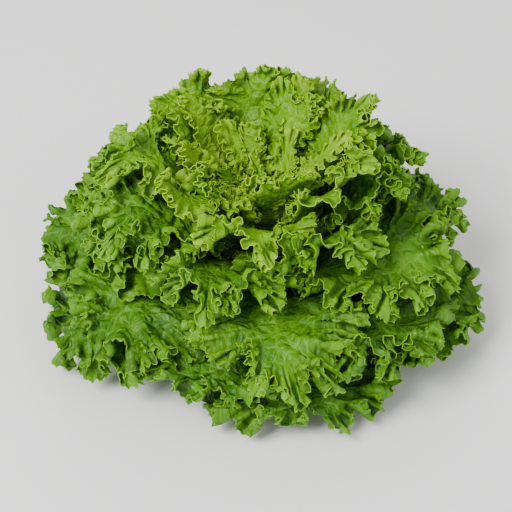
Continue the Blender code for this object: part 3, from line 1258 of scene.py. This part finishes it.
@dataclass(frozen=True)
class FloorFinish:
    """A plain pale studio floor."""

    name: str = "pale_floor"
    colour: Colour = (0.95, 0.95, 0.94)

    def material(self) -> bpy.types.Material:
        """Builds the material.

        Returns:
            The material.
        """
        paint = Paint(self.name)
        grain = paint.cloud(paint.node("ShaderNodeTexCoord", {}, {}, 3), 300.0)
        look = {"Base Color": (*self.colour, 1.0), "Roughness": 0.65 + grain * 0.1}
        return paint.finish(paint.node("ShaderNodeBsdfPrincipled", {}, look))


@dataclass(frozen=True)
class Stem:
    """The cut stem, with the scars and swellings where its leaves join."""

    sizes: StemSizes
    finish: StemFinish
    sides: int = 64
    rings: int = 48
    lump_height: float = 0.00045
    seam_depth: float = 0.0004

    def build(self) -> bpy.types.Object:
        """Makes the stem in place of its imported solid.

        Returns:
            The stem.
        """
        sizes = self.sizes
        heights = np.linspace(0, sizes.height - sizes.edge, self.rings)
        turns = np.arange(self.sides) * math.tau / self.sides
        z, turn = np.meshgrid(heights, turns, indexing="ij")
        base = sizes.radius_at(z)
        dome = np.clip((z - (sizes.height - 2 * sizes.dome)) / (2 * sizes.dome), 0, 1)
        base = base * np.sqrt(np.clip(1 - 0.8 * dome**2, 0, 1))
        foot = sizes.edge * (1 - ramp(z, 0.0, 2 * sizes.edge))
        lumps = noise(turn * 2.2 + z * 190, z * 260, 5) + 0.5 * noise(turn * 5, z * 420, 6)
        seam = np.abs(noise(turn * 7.0, z * 45, 8))
        relief = lumps * self.lump_height - seam * self.seam_depth
        radius = base - foot + relief * ramp(z, 0.001, 0.006)
        points = np.stack([radius * np.cos(turn), radius * np.sin(turn), z], -1).reshape(-1, 3)
        count = len(points)
        points = np.concatenate([points, [[0, 0, 0], [0, 0, sizes.height - sizes.edge]]])
        ids = np.arange(count).reshape(self.rings, self.sides)
        nxt = np.roll(ids, -1, axis=1)
        a, b, c, d = ids[:-1], nxt[:-1], nxt[1:], ids[1:]
        walls = [np.stack([a, b, c], -1).reshape(-1, 3), np.stack([a, c, d], -1).reshape(-1, 3)]
        low = np.stack([nxt[0], ids[0], np.full(self.sides, count)], -1)
        high = np.stack([ids[-1], nxt[-1], np.full(self.sides, count + 1)], -1)
        sharp = np.zeros(len(points), np.int8)
        sharp[ids[0]] = 1
        faces = np.concatenate([*walls, low, high])
        mesh = MeshArrays(points, faces, points * 1000, points * 0, points[:, 0] * 0, sharp)
        made = mesh.to_object("cut_stem", self.finish.material(sizes))
        return attach(made, "stem")


def attach(piece: bpy.types.Object, node: str) -> bpy.types.Object:
    """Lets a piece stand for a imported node.

    Args:
        piece: the piece.
        node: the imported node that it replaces.

    Returns:
        The piece.
    """
    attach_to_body(piece, BODY)
    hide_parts(node)
    LOG.info("%s stands for %s: %d triangles", piece.name, node, len(piece.data.polygons))
    return piece


@dataclass
class Head:
    """All the leaves, from the outermost to the heart."""

    sizes: HeadSizes
    blade: BladeSizes
    frills: FrillSizes
    finishes: dict[Tier, LeafFinish]
    net: NetSizes = NetSizes()
    heart_net: NetSizes = NetSizes(steps=(3, 6, 12, 24), rows=(4, 3, 2, 3))

    def plans(self) -> list[LeafPlan]:
        """Draws all the leaves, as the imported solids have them, and then the extra leaflets.

        Returns:
            The leaves, outermost first.
        """
        sizes = self.sizes
        rng = np.random.default_rng(sizes.seed)
        shares = enumerate(sizes.spiral_shares())
        plans = [LeafPlan(sizes, self.blade, number, share, rng) for number, share in shares]
        for plan in plans:
            plan.give_room([other for other in plans if other is not plan])
        return plans + self.leaflets(len(plans))

    def leaflets(self, first: int) -> list[LeafPlan]:
        """Draws the smallest leaflets, which fill the heart between the others.

        Args:
            first: the number of the first of them.

        Returns:
            The leaflets.
        """
        sizes = self.sizes
        rng = np.random.default_rng([sizes.seed, first])
        shares = enumerate(np.linspace(sizes.small_from, sizes.small_to, sizes.small_leaflets), first)
        plans = [LeafPlan(sizes, self.blade, number, float(share), rng) for number, share in shares]
        for plan in plans:
            plan.half_width *= sizes.small_width
            plan.measure()
            for rim in plan.rims.values():
                rim["swing"] *= sizes.small_swing
        return plans

    def build(self) -> list[bpy.types.Object]:
        """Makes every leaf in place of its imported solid.

        Returns:
            The pieces.
        """
        materials = {tier: f.material(self.frills) for tier, f in self.finishes.items()}
        made, heart = [], []
        for plan in self.plans():
            if plan.tier is Tier.HEART:
                heart.append(FineLeaf(plan, self.frills, self.heart_net).shape())
                continue
            slot = f"{plan.tier.value}_leaf"
            node = f"{slot}_{plan.place:02d}"
            mesh = FineLeaf(plan, self.frills, self.net).shape()
            made.append(attach(mesh.to_object(f"frilled_{node}", materials[plan.tier]), node))
        rosette = MeshArrays.joined(heart)
        piece = rosette.to_object("frilled_heart", materials[Tier.HEART])
        made.append(attach(piece, "heart"))
        return made


@dataclass(frozen=True)
class SoftLight:
    """A square panel of light that faces the head."""

    name: str
    place: Place
    size: float
    power: float

    def hang(self) -> None:
        """Adds the light."""
        lamp = bpy.data.lights.new(self.name, "AREA")
        lamp.shape, lamp.size, lamp.energy = "SQUARE", self.size, self.power
        made = bpy.data.objects.new(self.name, lamp)
        made.location = self.place
        made.rotation_euler = (-Vector(self.place)).to_track_quat("-Z", "Y").to_euler()
        bpy.context.scene.collection.objects.link(made)


@dataclass(frozen=True)
class Studio:
    """The floor, the soft lights and the camera at the photograph's viewing angle."""

    elevation: float = math.radians(42.0)
    distance: float = 1.10
    lens: float = 128.0
    aim: Place = (-0.002, 0.0, 0.037)
    air: float = 0.45
    floor_half: float = 3.0
    floor: FloorFinish = FloorFinish()
    lights: tuple[SoftLight, ...] = (
        SoftLight("key_light", (-0.9, -0.9, 1.5), 0.9, 56.0),
        SoftLight("fill_light", (1.3, -0.7, 0.9), 1.4, 9.0),
        SoftLight("back_light", (0.1, 1.4, 1.3), 1.2, 12.0),
    )

    def build(self) -> None:
        """Makes the floor, the lights and the camera."""
        self.add_floor()
        for light in self.lights:
            light.hang()
        world = bpy.data.worlds.new("studio_air")
        world.use_nodes = True
        air = world.node_tree.nodes["Background"]
        air.inputs["Color"].default_value = (1.0, 1.0, 1.0, 1.0)
        air.inputs["Strength"].default_value = self.air
        bpy.context.scene.world = world
        self.add_camera()

    def add_floor(self) -> None:
        """Adds the plain pale floor."""
        half = self.floor_half
        data = bpy.data.meshes.new("floor")
        corners = [(-half, -half, 0), (half, -half, 0), (half, half, 0), (-half, half, 0)]
        data.from_pydata(corners, [], [(0, 1, 2, 3)])
        data.materials.append(self.floor.material())
        floor = bpy.data.objects.new("floor", data)
        bpy.context.scene.collection.objects.link(floor)

    def add_camera(self) -> None:
        """Adds the camera and makes it the scene's."""
        data = bpy.data.cameras.new("camera")
        data.lens = self.lens
        camera = bpy.data.objects.new("camera", data)
        back = Vector((0.0, -math.cos(self.elevation), math.sin(self.elevation)))
        camera.location = Vector(self.aim) + back * self.distance
        camera.rotation_euler = (-back).to_track_quat("-Z", "Y").to_euler()
        bpy.context.scene.collection.objects.link(camera)
        bpy.context.scene.camera = camera


def leaf_finishes() -> dict[Tier, LeafFinish]:
    """Gives each ring its finish, from deep green outside to bright yellow-green at the heart.

    Returns:
        The finishes.
    """
    return {
        Tier.OUTER: LeafFinish(
            name="outer_leaf_green",
            deep=(0.022, 0.110, 0.001), fresh=(0.060, 0.225, 0.002), bright=(0.145, 0.410, 0.003),
            rim=(0.300, 0.580, 0.020), vein=(0.220, 0.450, 0.035), stalk=(0.280, 0.500, 0.070),
            glow=(0.220, 0.540, 0.003),
        ),
        Tier.MIDDLE: LeafFinish(
            name="middle_leaf_green",
            deep=(0.036, 0.160, 0.001), fresh=(0.092, 0.300, 0.002), bright=(0.200, 0.485, 0.003),
            rim=(0.330, 0.620, 0.018), vein=(0.250, 0.500, 0.030), stalk=(0.310, 0.530, 0.070),
            glow=(0.265, 0.590, 0.003),
        ),
        Tier.INNER: LeafFinish(
            name="inner_leaf_green",
            deep=(0.085, 0.265, 0.001), fresh=(0.180, 0.440, 0.002), bright=(0.320, 0.620, 0.004),
            rim=(0.400, 0.690, 0.015), vein=(0.320, 0.560, 0.025), stalk=(0.420, 0.600, 0.080),
            glow=(0.350, 0.650, 0.003),
        ),
        Tier.HEART: LeafFinish(
            name="heart_leaf_green",
            deep=(0.135, 0.345, 0.001), fresh=(0.250, 0.520, 0.002), bright=(0.390, 0.690, 0.004),
            rim=(0.440, 0.730, 0.015), vein=(0.380, 0.610, 0.025), stalk=(0.480, 0.640, 0.080),
            glow=(0.400, 0.700, 0.003),
        ),
    }


def main() -> None:
    """Builds the stem, the leaves and the studio."""
    logging.basicConfig(level=logging.INFO, format="%(message)s")
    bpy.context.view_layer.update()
    sizes = HeadSizes()
    Stem(sizes.stem, StemFinish()).build()
    pieces = Head(sizes, BladeSizes(), FrillSizes(), leaf_finishes()).build()
    LOG.info("%d leaf pieces", len(pieces))
    Studio().build()


if __name__ == "__main__":
    main()
